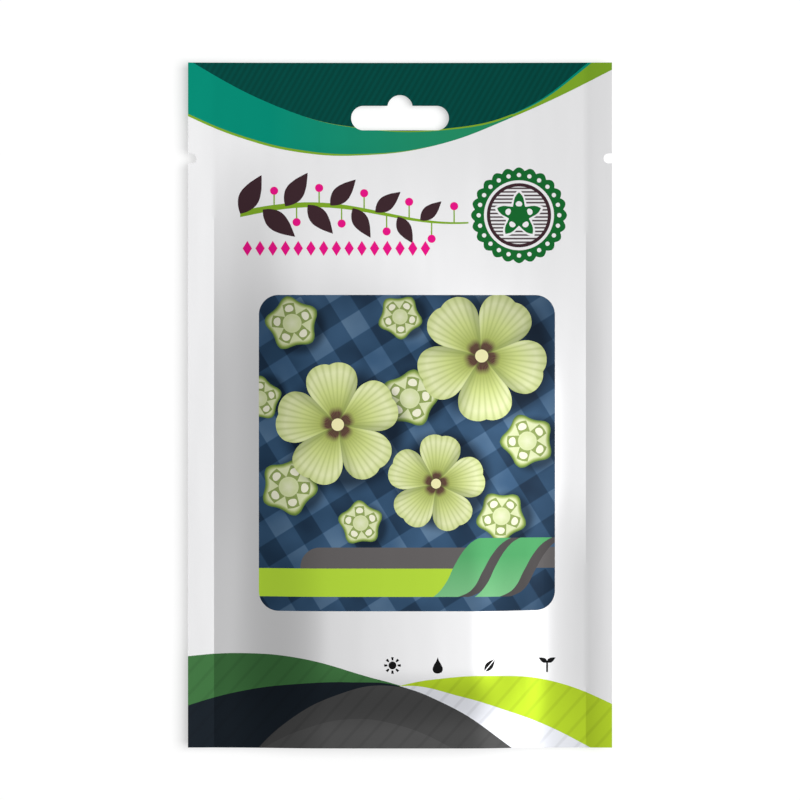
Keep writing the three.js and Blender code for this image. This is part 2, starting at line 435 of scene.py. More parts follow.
def add_node(tree, kind, inputs=(), out=0, points=(), stops=(), **settings):
    """Add a node with its settings, link or set its inputs, and return one of its outputs. points are
    those of a curve, stops the places and hex colours of a ramp."""
    node = tree.nodes.new(kind)
    for name, value in settings.items():
        setattr(node, name, value)
    for key, value in inputs.items() if isinstance(inputs, dict) else enumerate(inputs):
        if isinstance(value, bpy.types.NodeSocket):
            tree.links.new(value, node.inputs[key])
        else:
            node.inputs[key].default_value = value
    if points:
        node.mapping.use_clip = False
        spots = node.mapping.curves[0].points
        spots[0].location = points[0]
        spots[1].location = points[-1]
        for point in points[1:-1]:
            spots.new(*point)
        node.mapping.update()
    if stops:
        marks = node.color_ramp.elements
        marks[0].position, marks[0].color = stops[0][0], linear(stops[0][1])
        marks[1].position, marks[1].color = stops[-1][0], linear(stops[-1][1])
        for position, code in stops[1:-1]:
            marks.new(position).color = linear(code)
    return node.outputs[out] if node.outputs else node


def new_group(name, outputs):
    """A node group with a place as its input, and the place's x and y, ready for the group's nodes."""
    tree = bpy.data.node_groups.new(name, "ShaderNodeTree")
    tree.interface.new_socket("Place", in_out="INPUT", socket_type="NodeSocketVector")
    for title, kind in outputs.items():
        tree.interface.new_socket(title, in_out="OUTPUT", socket_type=kind)
    place = add_node(tree, "NodeGroupInput")
    x = add_node(tree, "ShaderNodeSeparateXYZ", [place])
    return tree, place, x, x.node.outputs["Y"]


def placed(tree, place, at, turn=0, length=1):
    """Coordinates of a motif that stands at a place, turned by degrees and drawn that many mm long."""
    turned = (0, 0, math.radians(turn))
    return add_node(
        tree,
        "ShaderNodeMapping",
        [place, (*at, 0), turned, (length, length, length)],
        vector_type="TEXTURE",
    )


def overprint(tree, under, layers):
    """Lay inks over a colour in order. layers are (mask, ink) pairs."""
    for mask, colour in layers:
        under = add_node(
            tree, "ShaderNodeMix", {0: mask, 6: under, 7: colour}, out=2, data_type="RGBA"
        )
    return under


def motif(tree, group, place, under, at, turn=0, length=1, shadow=0.0):
    """Draw a group's motif over a colour, with its shadow first."""
    spot = placed(tree, place, at, turn, length)
    colour = add_node(tree, "ShaderNodeGroup", [spot], node_tree=group)
    layers = []
    if shadow:
        strength = add_node(
            tree, "ShaderNodeMath", [colour.node.outputs["Shadow"], shadow], operation="MULTIPLY"
        )
        layers.append((strength, linear(SHADOW_INK)))
    layers.append((colour.node.outputs["Mask"], colour))
    return overprint(tree, under, layers)


def box_mask(tree, place, low, high, radius):
    """1 inside a rectangle with rounded corners."""
    middle = ((low[0] + high[0]) / 2, (low[1] + high[1]) / 2, 0)
    core = ((high[0] - low[0]) / 2 - radius, (high[1] - low[1]) / 2 - radius, 0)
    offset = add_node(tree, "ShaderNodeVectorMath", [place, middle], operation="SUBTRACT")
    folded = add_node(tree, "ShaderNodeVectorMath", [offset], operation="ABSOLUTE")
    outside = add_node(tree, "ShaderNodeVectorMath", [folded, core], operation="SUBTRACT")
    clear = add_node(tree, "ShaderNodeVectorMath", [outside, (0, 0, 0)], operation="MAXIMUM")
    distance = add_node(tree, "ShaderNodeVectorMath", [clear], out="Value", operation="LENGTH")
    return add_node(tree, "ShaderNodeMath", [distance, radius + HAIRLINE], operation="LESS_THAN")


def disc_mask(tree, place, middle, radius):
    """1 inside a circle."""
    distance = add_node(tree, "ShaderNodeVectorMath", [place, middle], out="Value", operation="DISTANCE")
    return add_node(tree, "ShaderNodeMath", [distance, radius], operation="LESS_THAN")


def cast_shadow(tree, place, middle, outer, inner):
    """A soft round shadow: none at the outer radius, full at the inner one."""
    distance = add_node(tree, "ShaderNodeVectorMath", [place, middle], out="Value", operation="DISTANCE")
    return add_node(
        tree, "ShaderNodeMapRange", [distance, outer, inner], interpolation_type="SMOOTHSTEP"
    )


def line_pattern(tree, place, turn, spacing, share):
    """1 on soft parallel lines. turn tilts them from upright, share is the part that they cover."""
    turned = placed(tree, place, (0, 0), turn)
    wave = add_node(tree, "ShaderNodeTexWave", {"Vector": turned, "Scale": WAVE_LENGTH / spacing}, out=1)
    return add_node(
        tree, "ShaderNodeMapRange", [wave, 1 - 2 * share, 1.0], interpolation_type="SMOOTHSTEP"
    )


# Printed edges, as points of a smooth curve from side to side
HEADER_FIELD = ((-66, 106.5), (-33, 89.8), (-15, 85.4), (15, 84.9), (36.5, 90.2), (58, 105.3), (66, 113))
HEADER_BAND = ((-66, 89), (-47.8, 81.6), (-30, 77.4), (-12, 76.6), (11, 79.7), (34.3, 88.2), (66, 103.3))
FOOTER_GREEN = ((-66, -77.1), (-48, -76), (-30, -77.4), (-9, -83.1), (0, -85.6), (30, -97), (66, -118))
FOOTER_NAVY = ((-66, -92.4), (-48, -87.5), (-30, -85.1), (-15, -84.6), (0, -85.8), (22, -97), (40, -112))
FOOTER_GREY = (
    (-46, -108),
    (-34.6, -96.9),
    (-20, -88.8),
    (-4, -85.6),
    (14, -91.4),
    (34, -104.8),
    (50, -118),
)
FOOTER_ARC = ((-40, -104), (-30.7, -99.6), (-15, -96), (0, -98), (15.3, -104.6), (25, -111))
FOOTER_LIME = ((-30, -104), (-12, -90.5), (0, -85.7), (14, -83.3), (28, -82.7), (46, -84.5), (66, -92.1))
FOOTER_LILAC = ((-30, -97), (0, -85.8), (19.3, -89.2), (33, -93.6), (46, -98.7), (58, -104.8), (66, -109))


# Ranges across the packet with what changes over them: the crescent's ink and the widths of fine lines
CRESCENT_FADE = (-40.0, 26.0, 0.0, 1.0)
LIME_LINE = (-30.0, 12.0, 0.75, 0.0)
SEAM_LINE = (-30.0, 34.0, 0.0, 0.6)
TEAL_LINE = (34.0, 58.0, 0.2, 1.0)
TAIL_FROM = 34.5
# Parallel lines: turn in degrees, spacing, and the share of the ground that they cover
HATCH = (-30, 1.7, 0.5)
FOOTER_LINES = (-42, 4.5, 0.1)
FOOTER_LINE_STRENGTH = 0.12
HATCH_INK = "#003d36"
ARC_INK = "#4b4b4b"
SIGN_PLACES = (-2.3, 11.5, 27.4, 45.1)
SIGN_HEIGHT = -79.4
SIGN_SIZE = 2.5


def header_print(tree, place, inks):
    """A dark green field over a teal crescent that runs out into an olive tail."""
    x = add_node(tree, "ShaderNodeSeparateXYZ", [place])
    y = x.node.outputs["Y"]
    field = add_node(tree, "ShaderNodeFloatCurve", {1: x}, points=HEADER_FIELD)
    band = add_node(tree, "ShaderNodeFloatCurve", {1: x}, points=HEADER_BAND)
    in_field = add_node(tree, "ShaderNodeMath", [y, field], operation="GREATER_THAN")
    in_band = add_node(tree, "ShaderNodeMath", [y, band], operation="GREATER_THAN")
    along = add_node(tree, "ShaderNodeMapRange", [x, *CRESCENT_FADE])
    crescent = overprint(tree, inks.teal, [(along, inks.sea_green)])
    tail = add_node(tree, "ShaderNodeMath", [x, TAIL_FROM], operation="GREATER_THAN")
    over_band = add_node(tree, "ShaderNodeMath", [y, band], operation="SUBTRACT")
    line_width = add_node(tree, "ShaderNodeMapRange", [x, *LIME_LINE])
    lime_line = add_node(tree, "ShaderNodeMath", [over_band, line_width], operation="LESS_THAN")
    under_field = add_node(tree, "ShaderNodeMath", [field, y], operation="SUBTRACT")
    seam_width = add_node(tree, "ShaderNodeMapRange", [x, *SEAM_LINE])
    olive_line = add_node(tree, "ShaderNodeMath", [under_field, seam_width], operation="LESS_THAN")
    teal_width = add_node(tree, "ShaderNodeMapRange", [x, *TEAL_LINE])
    teal_line = add_node(tree, "ShaderNodeMath", [under_field, teal_width], operation="LESS_THAN")
    tail_teal = add_node(tree, "ShaderNodeMath", [tail, teal_line], operation="MULTIPLY")
    crescent = overprint(
        tree,
        crescent,
        [(lime_line, inks.olive), (olive_line, inks.olive), (tail, inks.olive), (tail_teal, inks.teal)],
    )
    hatch = line_pattern(tree, place, *HATCH)
    hatched = overprint(tree, inks.dark_green, [(hatch, linear(HATCH_INK))])
    return overprint(tree, inks.film, [(in_band, crescent), (in_field, hatched)])


def footer_print(tree, place, inks):
    """Waves of green, navy, grey, lime and lilac with faint slanting lines, under four pictograms."""
    x = add_node(tree, "ShaderNodeSeparateXYZ", [place])
    y = x.node.outputs["Y"]
    lines = line_pattern(tree, place, *FOOTER_LINES)
    faint = add_node(tree, "ShaderNodeMath", [lines, FOOTER_LINE_STRENGTH], operation="MULTIPLY")
    layers = []
    for edge, colour in (
        (FOOTER_GREEN, inks.green),
        (FOOTER_LIME, inks.lime),
        (FOOTER_LILAC, inks.lilac),
        (FOOTER_NAVY, inks.navy),
        (FOOTER_GREY, inks.grey),
        (FOOTER_ARC, linear(ARC_INK)),
    ):
        height = add_node(tree, "ShaderNodeFloatCurve", {1: x}, points=edge)
        lined = overprint(tree, colour, [(faint, inks.black)])
        layers.append((add_node(tree, "ShaderNodeMath", [y, height], operation="LESS_THAN"), lined))
    printed = overprint(tree, inks.film, layers)
    for draw, at in zip((sun_sign, drop_sign, leaf_sign, sprout_sign), SIGN_PLACES):
        sign = draw(tree, placed(tree, place, (at, SIGN_HEIGHT), 0, SIGN_SIZE))
        printed = overprint(tree, printed, [(sign, inks.black)])
    return printed


SUN_RAYS = 8
RAY_CUT = 0.3
RAY_MIDDLE = 0.82
RAY_HALF = 0.2
SUN_DISC = 0.48


def sun_sign(tree, place):
    """A disc with eight rays, one unit in radius."""
    x = add_node(tree, "ShaderNodeSeparateXYZ", [place])
    y = x.node.outputs["Y"]
    radius = add_node(tree, "ShaderNodeVectorMath", [place], out="Value", operation="LENGTH")
    angle = add_node(tree, "ShaderNodeMath", [y, x], operation="ARCTAN2")
    turns = add_node(tree, "ShaderNodeMath", [angle, float(SUN_RAYS)], operation="MULTIPLY")
    ray = add_node(tree, "ShaderNodeMath", [turns], operation="COSINE")
    spoke = add_node(tree, "ShaderNodeMath", [ray, RAY_CUT], operation="GREATER_THAN")
    ring = add_node(tree, "ShaderNodeMath", [radius, RAY_MIDDLE, RAY_HALF], operation="COMPARE")
    rays = add_node(tree, "ShaderNodeMath", [spoke, ring], operation="MULTIPLY")
    disc = add_node(tree, "ShaderNodeMath", [radius, SUN_DISC], operation="LESS_THAN")
    return add_node(tree, "ShaderNodeMath", [rays, disc], operation="MAXIMUM")


DROP_OUTLINE = ((-1, 0), (-0.97, 0.2), (-0.8, 0.5), (-0.45, 0.62), (0, 0.48), (0.5, 0.2), (1, 0))
LEAF_OUTLINE = ((-1, 0), (-0.6, 0.34), (-0.2, 0.46), (0.3, 0.36), (0.7, 0.17), (1, 0))


def drop_sign(tree, place):
    """A water drop, two units high."""
    return blade_mask(tree, place, DROP_OUTLINE)


def leaf_sign(tree, place):
    """A leaf with a bare midrib, two units long."""
    leaf = placed(tree, place, (0, 0), -40)
    x = add_node(tree, "ShaderNodeSeparateXYZ", [leaf])
    rib = add_node(tree, "ShaderNodeMath", [x, 0.0, 0.06], operation="COMPARE")
    blade = blade_mask(tree, leaf, LEAF_OUTLINE)
    return add_node(tree, "ShaderNodeMath", [blade, rib], operation="SUBTRACT", use_clamp=True)


def sprout_sign(tree, place):
    """A seedling: two leaves on a stem."""
    stem = box_mask(tree, place, (-0.1, -1), (0.1, 0.25), 0.05)
    left = blade_mask(tree, placed(tree, place, (-0.5, 0.5), 62, 0.62), LEAF_OUTLINE)
    right = blade_mask(tree, placed(tree, place, (0.5, 0.5), -62, 0.62), LEAF_OUTLINE)
    leaves = add_node(tree, "ShaderNodeMath", [left, right], operation="MAXIMUM")
    return add_node(tree, "ShaderNodeMath", [leaves, stem], operation="MAXIMUM")


def blade_mask(tree, place, outline):
    """1 inside a shape that is even on both sides of the y axis. outline gives its half-width over y."""
    x = add_node(tree, "ShaderNodeSeparateXYZ", [place])
    y = x.node.outputs["Y"]
    half = add_node(tree, "ShaderNodeFloatCurve", {1: y}, points=outline)
    side = add_node(tree, "ShaderNodeMath", [x], operation="ABSOLUTE")
    within = add_node(tree, "ShaderNodeMath", [side, half], operation="LESS_THAN")
    reach = add_node(tree, "ShaderNodeMath", [y], operation="ABSOLUTE")
    ends = add_node(tree, "ShaderNodeMath", [reach, 1.0], operation="LESS_THAN")
    return add_node(tree, "ShaderNodeMath", [within, ends], operation="MULTIPLY")


def polar(tree, place, x, y, turns):
    """Distance from the middle, and the way round from one of so many spokes to the next, -0.5 to 0.5."""
    radius = add_node(tree, "ShaderNodeVectorMath", [place], out="Value", operation="LENGTH")
    angle = add_node(tree, "ShaderNodeMath", [x, y], operation="ARCTAN2")
    round_once = add_node(tree, "ShaderNodeMath", [angle, turns / (2 * math.pi)], operation="MULTIPLY")
    part = add_node(tree, "ShaderNodeMath", [round_once, 0.5, -0.5], operation="WRAP")
    return radius, part


MOTIF_OUTPUTS = {"Colour": "NodeSocketColor", "Mask": "NodeSocketFloat", "Shadow": "NodeSocketFloat"}
RIBS = 5
SLICE_OUTLINE = ((0, 1), (0.12, 0.96), (0.35, 0.83), (0.5, 0.8))
SLICE_INKS = (
    (0, "#dfe3c0"),
    (0.3, "#cfd8a4"),
    (0.8, "#d9e0b4"),
    (0.9, "#9db060"),
    (0.97, "#64803a"),
    (1, "#64803a"),
)
CHAMBER_INK = "#8fa05c"
CHAMBER_MIDDLE = 0.54
CHAMBER_REACH = 0.2
CHAMBER_HALF_WIDTH = 0.17
CUT_SEED_INK = "#ecebd2"
CUT_SEED_MIDDLE = (0, 0.55, 0)
CUT_SEED_RADIUS = 0.125
SLICE_SHADOW = ((0.2, -0.2, 0), 1.15, 0.75)


def okra_slice():
    """A cut across a pod: five ribs, five chambers and a seed in each, one unit in radius."""
    tree, place, x, y = new_group("okra_slice", MOTIF_OUTPUTS)
    radius, part = polar(tree, place, x, y, RIBS)
    fold = add_node(tree, "ShaderNodeMath", [part], operation="ABSOLUTE")
    rim = add_node(tree, "ShaderNodeFloatCurve", {1: fold}, points=SLICE_OUTLINE)
    mask = add_node(tree, "ShaderNodeMath", [radius, rim], operation="LESS_THAN")
    share = add_node(tree, "ShaderNodeMath", [radius, rim], operation="DIVIDE")
    flesh = add_node(tree, "ShaderNodeValToRGB", [share], stops=SLICE_INKS)
    sideways = add_node(tree, "ShaderNodeMath", [fold, radius], operation="MULTIPLY")
    along = add_node(tree, "ShaderNodeMath", [radius, CHAMBER_MIDDLE, CHAMBER_REACH], operation="COMPARE")
    across = add_node(tree, "ShaderNodeMath", [sideways, CHAMBER_HALF_WIDTH], operation="LESS_THAN")
    chamber = add_node(tree, "ShaderNodeMath", [along, across], operation="MULTIPLY")
    in_sector = add_node(tree, "ShaderNodeCombineXYZ", [sideways, radius])
    seed = disc_mask(tree, in_sector, CUT_SEED_MIDDLE, CUT_SEED_RADIUS)
    colour = overprint(tree, flesh, [(chamber, linear(CHAMBER_INK)), (seed, linear(CUT_SEED_INK))])
    shadow = cast_shadow(tree, place, *SLICE_SHADOW)
    add_node(tree, "NodeGroupOutput", [colour, mask, shadow])
    return tree


# Reach of a flower's petal from its middle line to its edge, and its colours from the throat outward
PETAL_OUTLINE = ((0, 0.97), (0.12, 1), (0.3, 0.95), (0.43, 0.8), (0.5, 0.6))
PETAL_INKS = (
    (0, "#3a1a26"),
    (0.2, "#552635"),
    (0.3, "#a9b562"),
    (0.55, "#c9d488"),
    (0.85, "#dfe5b2"),
    (1, "#cbd692"),
)
PETALS = 5
VEIN_SPACING = 0.1
VEIN_WIDTH = 0.03
OVERLAP_SHADE = 0.55
COLUMN_RADIUS = 0.1
VEIN_STRENGTH = 0.4
OVERLAP_FROM = 0.2
VEIN_INK = "#93a256"
OVERLAP_INK = "#6d7d3e"
COLUMN_INK = "#e9e4ae"
FLOWER_SHADOW = ((0.1, -0.1, 0), 1.12, 0.8)


def okra_flower():
    """An open flower seen from the front: five petals, each with one side under the next, a dark throat
    and a pale column, one unit in radius."""
    tree, place, x, y = new_group("okra_flower", MOTIF_OUTPUTS)
    radius, part = polar(tree, place, x, y, PETALS)
    fold = add_node(tree, "ShaderNodeMath", [part], operation="ABSOLUTE")
    rim = add_node(tree, "ShaderNodeFloatCurve", {1: fold}, points=PETAL_OUTLINE)
    mask = add_node(tree, "ShaderNodeMath", [radius, rim], operation="LESS_THAN")
    share = add_node(tree, "ShaderNodeMath", [radius, rim], operation="DIVIDE")
    petal = add_node(tree, "ShaderNodeValToRGB", [share], stops=PETAL_INKS)
    vein_side = add_node(tree, "ShaderNodeMath", [part, VEIN_SPACING / 2], operation="PINGPONG")
    vein = add_node(tree, "ShaderNodeMapRange", [vein_side, VEIN_WIDTH, 0.0, 0.0, VEIN_STRENGTH])
    under = add_node(
        tree,
        "ShaderNodeMapRange",
        [part, OVERLAP_FROM, 0.5, 0.0, OVERLAP_SHADE],
        interpolation_type="SMOOTHSTEP",
    )
    column = add_node(tree, "ShaderNodeMath", [radius, COLUMN_RADIUS], operation="LESS_THAN")
    colour = overprint(
        tree,
        petal,
        [(vein, linear(VEIN_INK)), (under, linear(OVERLAP_INK)), (column, linear(COLUMN_INK))],
    )
    shadow = cast_shadow(tree, place, *FLOWER_SHADOW)
    add_node(tree, "NodeGroupOutput", [colour, mask, shadow])
    return tree


PANEL_LOW = (-43.2, -62.9)
PANEL_HIGH = (47.5, 33.7)
PANEL_RADIUS = 6
PANEL_MIDDLE = (2.15, -14.6, 0)
CHECK_SIZE = 6.5
CLOTH_TILT = 32
CHECK_TONE = 0.22
FOLD_TONE = 0.6
FOLD_SCALE = 0.35
CHECK_EDGE = (0.47, 0.53)
CLOTH_INKS = ((0.2, "#1c2f44"), (0.42, "#2a4560"), (0.64, "#3b5a7a"), (0.86, "#5f7c98"))
SLICE_SHADE = 0.7
FLOWER_SHADE = 0.8
# Distances from the panel's middle over which it darkens, and by how much
VIGNETTE = (34.0, 74.0, 0.0, 0.55)

# Place, turn in degrees and radius in mm
SLICES = (
    ((-33, 25), 12, 8.5),
    ((0, 27), 40, 7),
    ((3, 2), 62, 9),
    ((39, -11), 20, 8.5),
    ((-34, -25), 50, 9),
    ((-12, -36), 5, 7),
    ((31, -34), 33, 8),
    ((-43, 2), 70, 7),
)
FLOWERS = (((-19, -6), 8, 19), ((25, 15), 40, 20), ((11, -24), 65, 15))


def checked_cloth(tree, place):
    """Blue cloth woven in checks, with soft folds."""
    weave = placed(tree, place, PANEL_LOW, CLOTH_TILT, CHECK_SIZE)
    x = add_node(tree, "ShaderNodeSeparateXYZ", [weave])
    tone = add_node(tree, "ShaderNodeTexNoise", {"Vector": weave, "Scale": FOLD_SCALE, "Detail": 2.0})
    tone = add_node(tree, "ShaderNodeMath", [tone, FOLD_TONE], operation="MULTIPLY")
    for axis in (x, x.node.outputs["Y"]):
        part = add_node(tree, "ShaderNodeMath", [axis, 1.0], operation="PINGPONG")
        band = add_node(
            tree, "ShaderNodeMapRange", [part, *CHECK_EDGE], interpolation_type="SMOOTHSTEP"
        )
        tone = add_node(tree, "ShaderNodeMath", [band, CHECK_TONE, tone], operation="MULTIPLY_ADD")
    return add_node(tree, "ShaderNodeValToRGB", [tone], stops=CLOTH_INKS)


def picture_print(tree, place, inks):
    """Okra flowers and cut slices strewn on a checked cloth, and plain label bars across it."""
    picture = checked_cloth(tree, place)
    flower, cut = okra_flower(), okra_slice()
    for at, turn, radius in SLICES:
        picture = motif(tree, cut, place, picture, at, turn, radius, SLICE_SHADE)
    for at, turn, radius in FLOWERS:
        picture = motif(tree, flower, place, picture, at, turn, radius, FLOWER_SHADE)
    distance = add_node(
        tree, "ShaderNodeVectorMath", [place, PANEL_MIDDLE], out="Value", operation="DISTANCE"
    )
    vignette = add_node(tree, "ShaderNodeMapRange", [distance, *VIGNETTE])
    picture = overprint(tree, picture, [(vignette, linear(SHADOW_INK))])
    picture = label_bars(tree, place, picture, inks)
    return overprint(tree, inks.film, [(panel_mask(tree, place), picture)])


def panel_mask(tree, place):
    return box_mask(tree, place, PANEL_LOW, PANEL_HIGH, PANEL_RADIUS)


BAR_LOW = -58.5
BAR_MIDDLE = -49.9
BAR_TOP = -43.5
RIBBON_TOP = -40.6
RIBBON_SHIFT = 12.7
# Left and right edge of the first ribbon, as x over y
RIBBON_LEFT = ((-59, 9), (-58, 10.8), (-54.4, 13.9), (-49, 16.6), (-43.7, 20), (-41.5, 22.4), (-40, 26))
RIBBON_RIGHT = (
    (-59, 15),
    (-57.8, 19.6),
    (-56, 22.2),
    (-50.6, 25.3),
    (-45.3, 28.4),
    (-42, 31.5),
    (-40, 35.6),
)
RIBBON_FADE = 4
RIBBON_PALE_INK = "#76b680"
RIBBON_FOLD = 3.4
FOLD_INK = "#4d4a4a"
# The bars run past the panel's edge, and the grey one ends behind the lime one
BAR_REACH = 60
GREY_START = -30.4
GREY_RADIUS = 6
GREY_TUCK = 8


def label_bars(tree, place, under, inks):
    """A lime bar under a grey one, with two slanting green ribbons over their right ends."""
    x = add_node(tree, "ShaderNodeSeparateXYZ", [place])
    y = x.node.outputs["Y"]
    left = add_node(tree, "ShaderNodeFloatCurve", {1: y}, points=RIBBON_LEFT)
    right = add_node(tree, "ShaderNodeFloatCurve", {1: y}, points=RIBBON_RIGHT)
    in_height = box_mask(tree, place, (-BAR_REACH, BAR_LOW), (BAR_REACH, RIBBON_TOP), 0)
    grey_low = (GREY_START, BAR_MIDDLE - GREY_TUCK)
    grey_bar = box_mask(tree, place, grey_low, (BAR_REACH, BAR_TOP), GREY_RADIUS)
    over_lime = add_node(tree, "ShaderNodeMath", [y, BAR_MIDDLE], operation="GREATER_THAN")
    grey_part = add_node(tree, "ShaderNodeMath", [grey_bar, over_lime], operation="MULTIPLY")
    lime_bar = box_mask(tree, place, (-BAR_REACH, BAR_LOW), (BAR_REACH, BAR_MIDDLE), 0)
    before = add_node(tree, "ShaderNodeMath", [x, left], operation="LESS_THAN")
    lime_part = add_node(tree, "ShaderNodeMath", [lime_bar, before], operation="MULTIPLY")
    layers = [(grey_part, inks.label_grey), (lime_part, inks.label_lime)]
    for shift in (0.0, RIBBON_SHIFT):
        moved = add_node(tree, "ShaderNodeMath", [x, shift], operation="SUBTRACT")
        after_left = add_node(tree, "ShaderNodeMath", [moved, left], operation="GREATER_THAN")
        before_right = add_node(tree, "ShaderNodeMath", [moved, right], operation="LESS_THAN")
        between = add_node(tree, "ShaderNodeMath", [after_left, before_right], operation="MULTIPLY")
        ribbon = add_node(tree, "ShaderNodeMath", [between, in_height], operation="MULTIPLY")
        dark_right = add_node(tree, "ShaderNodeMath", [right, RIBBON_FOLD], operation="ADD")
        before_dark = add_node(tree, "ShaderNodeMath", [moved, dark_right], operation="LESS_THAN")
        fold_part = add_node(tree, "ShaderNodeMath", [after_left, before_dark], operation="MULTIPLY")
        fold = add_node(tree, "ShaderNodeMath", [fold_part, in_height], operation="MULTIPLY")
        height = add_node(tree, "ShaderNodeMapRange", [y, BAR_LOW, BAR_MIDDLE + RIBBON_FADE])
        shaded = overprint(tree, linear(RIBBON_PALE_INK), [(height, inks.ribbon)])
        layers += [(fold, linear(FOLD_INK)), (ribbon, shaded)]
    return overprint(tree, under, layers)


STEM_START = -49.0
STEM_END = 21.0
STEM_HEIGHT = 58.6
STEM_SWING = 2.8
STEM_WAVE = 88
STEM_THICK = 1.0
STEM_THIN = 0.25
STEM_LOW = 40
STEM_HIGH = 75
LEAF_STEP = 6.9
LEAF_COUNT = 9
LEAF_HALF = 6.8
LEAF_SHRINK = 0.3
LEAF_LEAN = math.radians(50)
BERRY_STEP = 10.4
BERRY_RISE = 5.2
BERRY_RADIUS = 1.25
STALK_WIDTH = 0.4
ROW_HEIGHT = 48.0
ROW_STEP = 3.9
ROW_START = -12.5 * ROW_STEP
ROW_END = 2.5 * ROW_STEP
LOZENGE_SLIMNESS = 0.62
LOZENGE_HALF = 1.45
ROSETTE_MIDDLE = (36.5, 58.2)
ROSETTE_RADIUS = 14.7


def stem_at(x):
    """Height and slope of the sprig's stem."""
    phase = 2 * math.pi * (x - STEM_START) / STEM_WAVE
    slope = STEM_SWING * 2 * math.pi / STEM_WAVE * math.cos(phase)
    return STEM_HEIGHT + STEM_SWING * math.sin(phase), slope


def ornament_print(tree, place, inks):
    """A leafy sprig with berries over a row of lozenges, and a round rosette beside them."""
    x = add_node(tree, "ShaderNodeSeparateXYZ", [place])
    y = x.node.outputs["Y"]
    from_start = add_node(tree, "ShaderNodeMath", [x, STEM_START], operation="SUBTRACT")
    phase = add_node(tree, "ShaderNodeMath", [from_start, 2 * math.pi / STEM_WAVE], operation="MULTIPLY")
    wave = add_node(tree, "ShaderNodeMath", [phase], operation="SINE")
    height = add_node(tree, "ShaderNodeMath", [wave, STEM_SWING, STEM_HEIGHT], operation="MULTIPLY_ADD")
    offset = add_node(tree, "ShaderNodeMath", [y, height], operation="SUBTRACT")
    thickness = add_node(tree, "ShaderNodeMapRange", [x, STEM_START, STEM_END, STEM_THICK, STEM_THIN])
    near_stem = add_node(tree, "ShaderNodeMath", [offset, 0.0, thickness], operation="COMPARE")
    in_width = box_mask(tree, place, (STEM_START, STEM_LOW), (STEM_END, STEM_HIGH), 0)
    stem = add_node(tree, "ShaderNodeMath", [near_stem, in_width], operation="MULTIPLY")
    printed = overprint(tree, inks.film, [(stem, inks.olive)])
    for i in range(LEAF_COUNT):
        at = STEM_START + i * LEAF_STEP
        side = 1 if i % 2 == 0 else -1
        half = LEAF_HALF - i * LEAF_SHRINK
        stem_y, slope = stem_at(at)
        direction = math.atan(slope) + side * LEAF_LEAN
        middle = (at + half * math.cos(direction), stem_y + half * math.sin(direction))
        blade = blade_mask(
            tree, placed(tree, place, middle, math.degrees(direction) - 90, half), LEAF_OUTLINE
        )
        berry = (at + BERRY_STEP, stem_at(at + BERRY_STEP)[0] + side * BERRY_RISE, 0)
        stalk_ends = sorted((stem_at(berry[0])[0], berry[1]))
        stalk = box_mask(
            tree,
            place,
            (berry[0] - STALK_WIDTH / 2, stalk_ends[0]),
            (berry[0] + STALK_WIDTH / 2, stalk_ends[1]),
            0,
        )
        ball = disc_mask(tree, place, berry, BERRY_RADIUS)
        printed = overprint(
            tree, printed, [(blade, inks.brown), (stalk, inks.olive), (ball, inks.magenta)]
        )
    step = add_node(tree, "ShaderNodeMath", [x, ROW_STEP / 2], operation="PINGPONG")
    level = add_node(tree, "ShaderNodeMath", [y, ROW_HEIGHT], operation="SUBTRACT")
    away = add_node(tree, "ShaderNodeMath", [level], operation="ABSOLUTE")
    slant = add_node(tree, "ShaderNodeMath", [away, LOZENGE_SLIMNESS, step], operation="MULTIPLY_ADD")
    lozenge = add_node(tree, "ShaderNodeMath", [slant, LOZENGE_HALF], operation="LESS_THAN")
    row = box_mask(tree, place, (ROW_START, ROW_HEIGHT - ROW_STEP), (ROW_END, ROW_HEIGHT + ROW_STEP), 0)
    lozenges = add_node(tree, "ShaderNodeMath", [lozenge, row], operation="MULTIPLY")
    printed = overprint(tree, printed, [(lozenges, inks.magenta)])
    return motif(tree, rosette(inks), place, printed, ROSETTE_MIDDLE, 0, ROSETTE_RADIUS)


SCALLOPS = 24
SCALLOP_DEPTH = 0.07
ROSETTE_INK = "#14602a"
RING_INNER = 0.73
DOT_RING = 0.84
DOT_RADIUS = 0.045
# The lined disc: turn, spacing and share of its lines, its radius, and the circle round it
DISC_LINES = (90, 0.075, 0.42)
DISC_RADIUS = 0.6
CIRCLE_RADIUS = 0.635
CIRCLE_HALF = 0.035
STAR_POINTS = 5
STAR_OUTLINE = ((0, 0.48), (0.15, 0.4), (0.35, 0.27), (0.5, 0.22))
STAR_HALO = 0.06
STAR_DOT_MIDDLE = (0, 0.24, 0)
STAR_DOT_RADIUS = 0.055


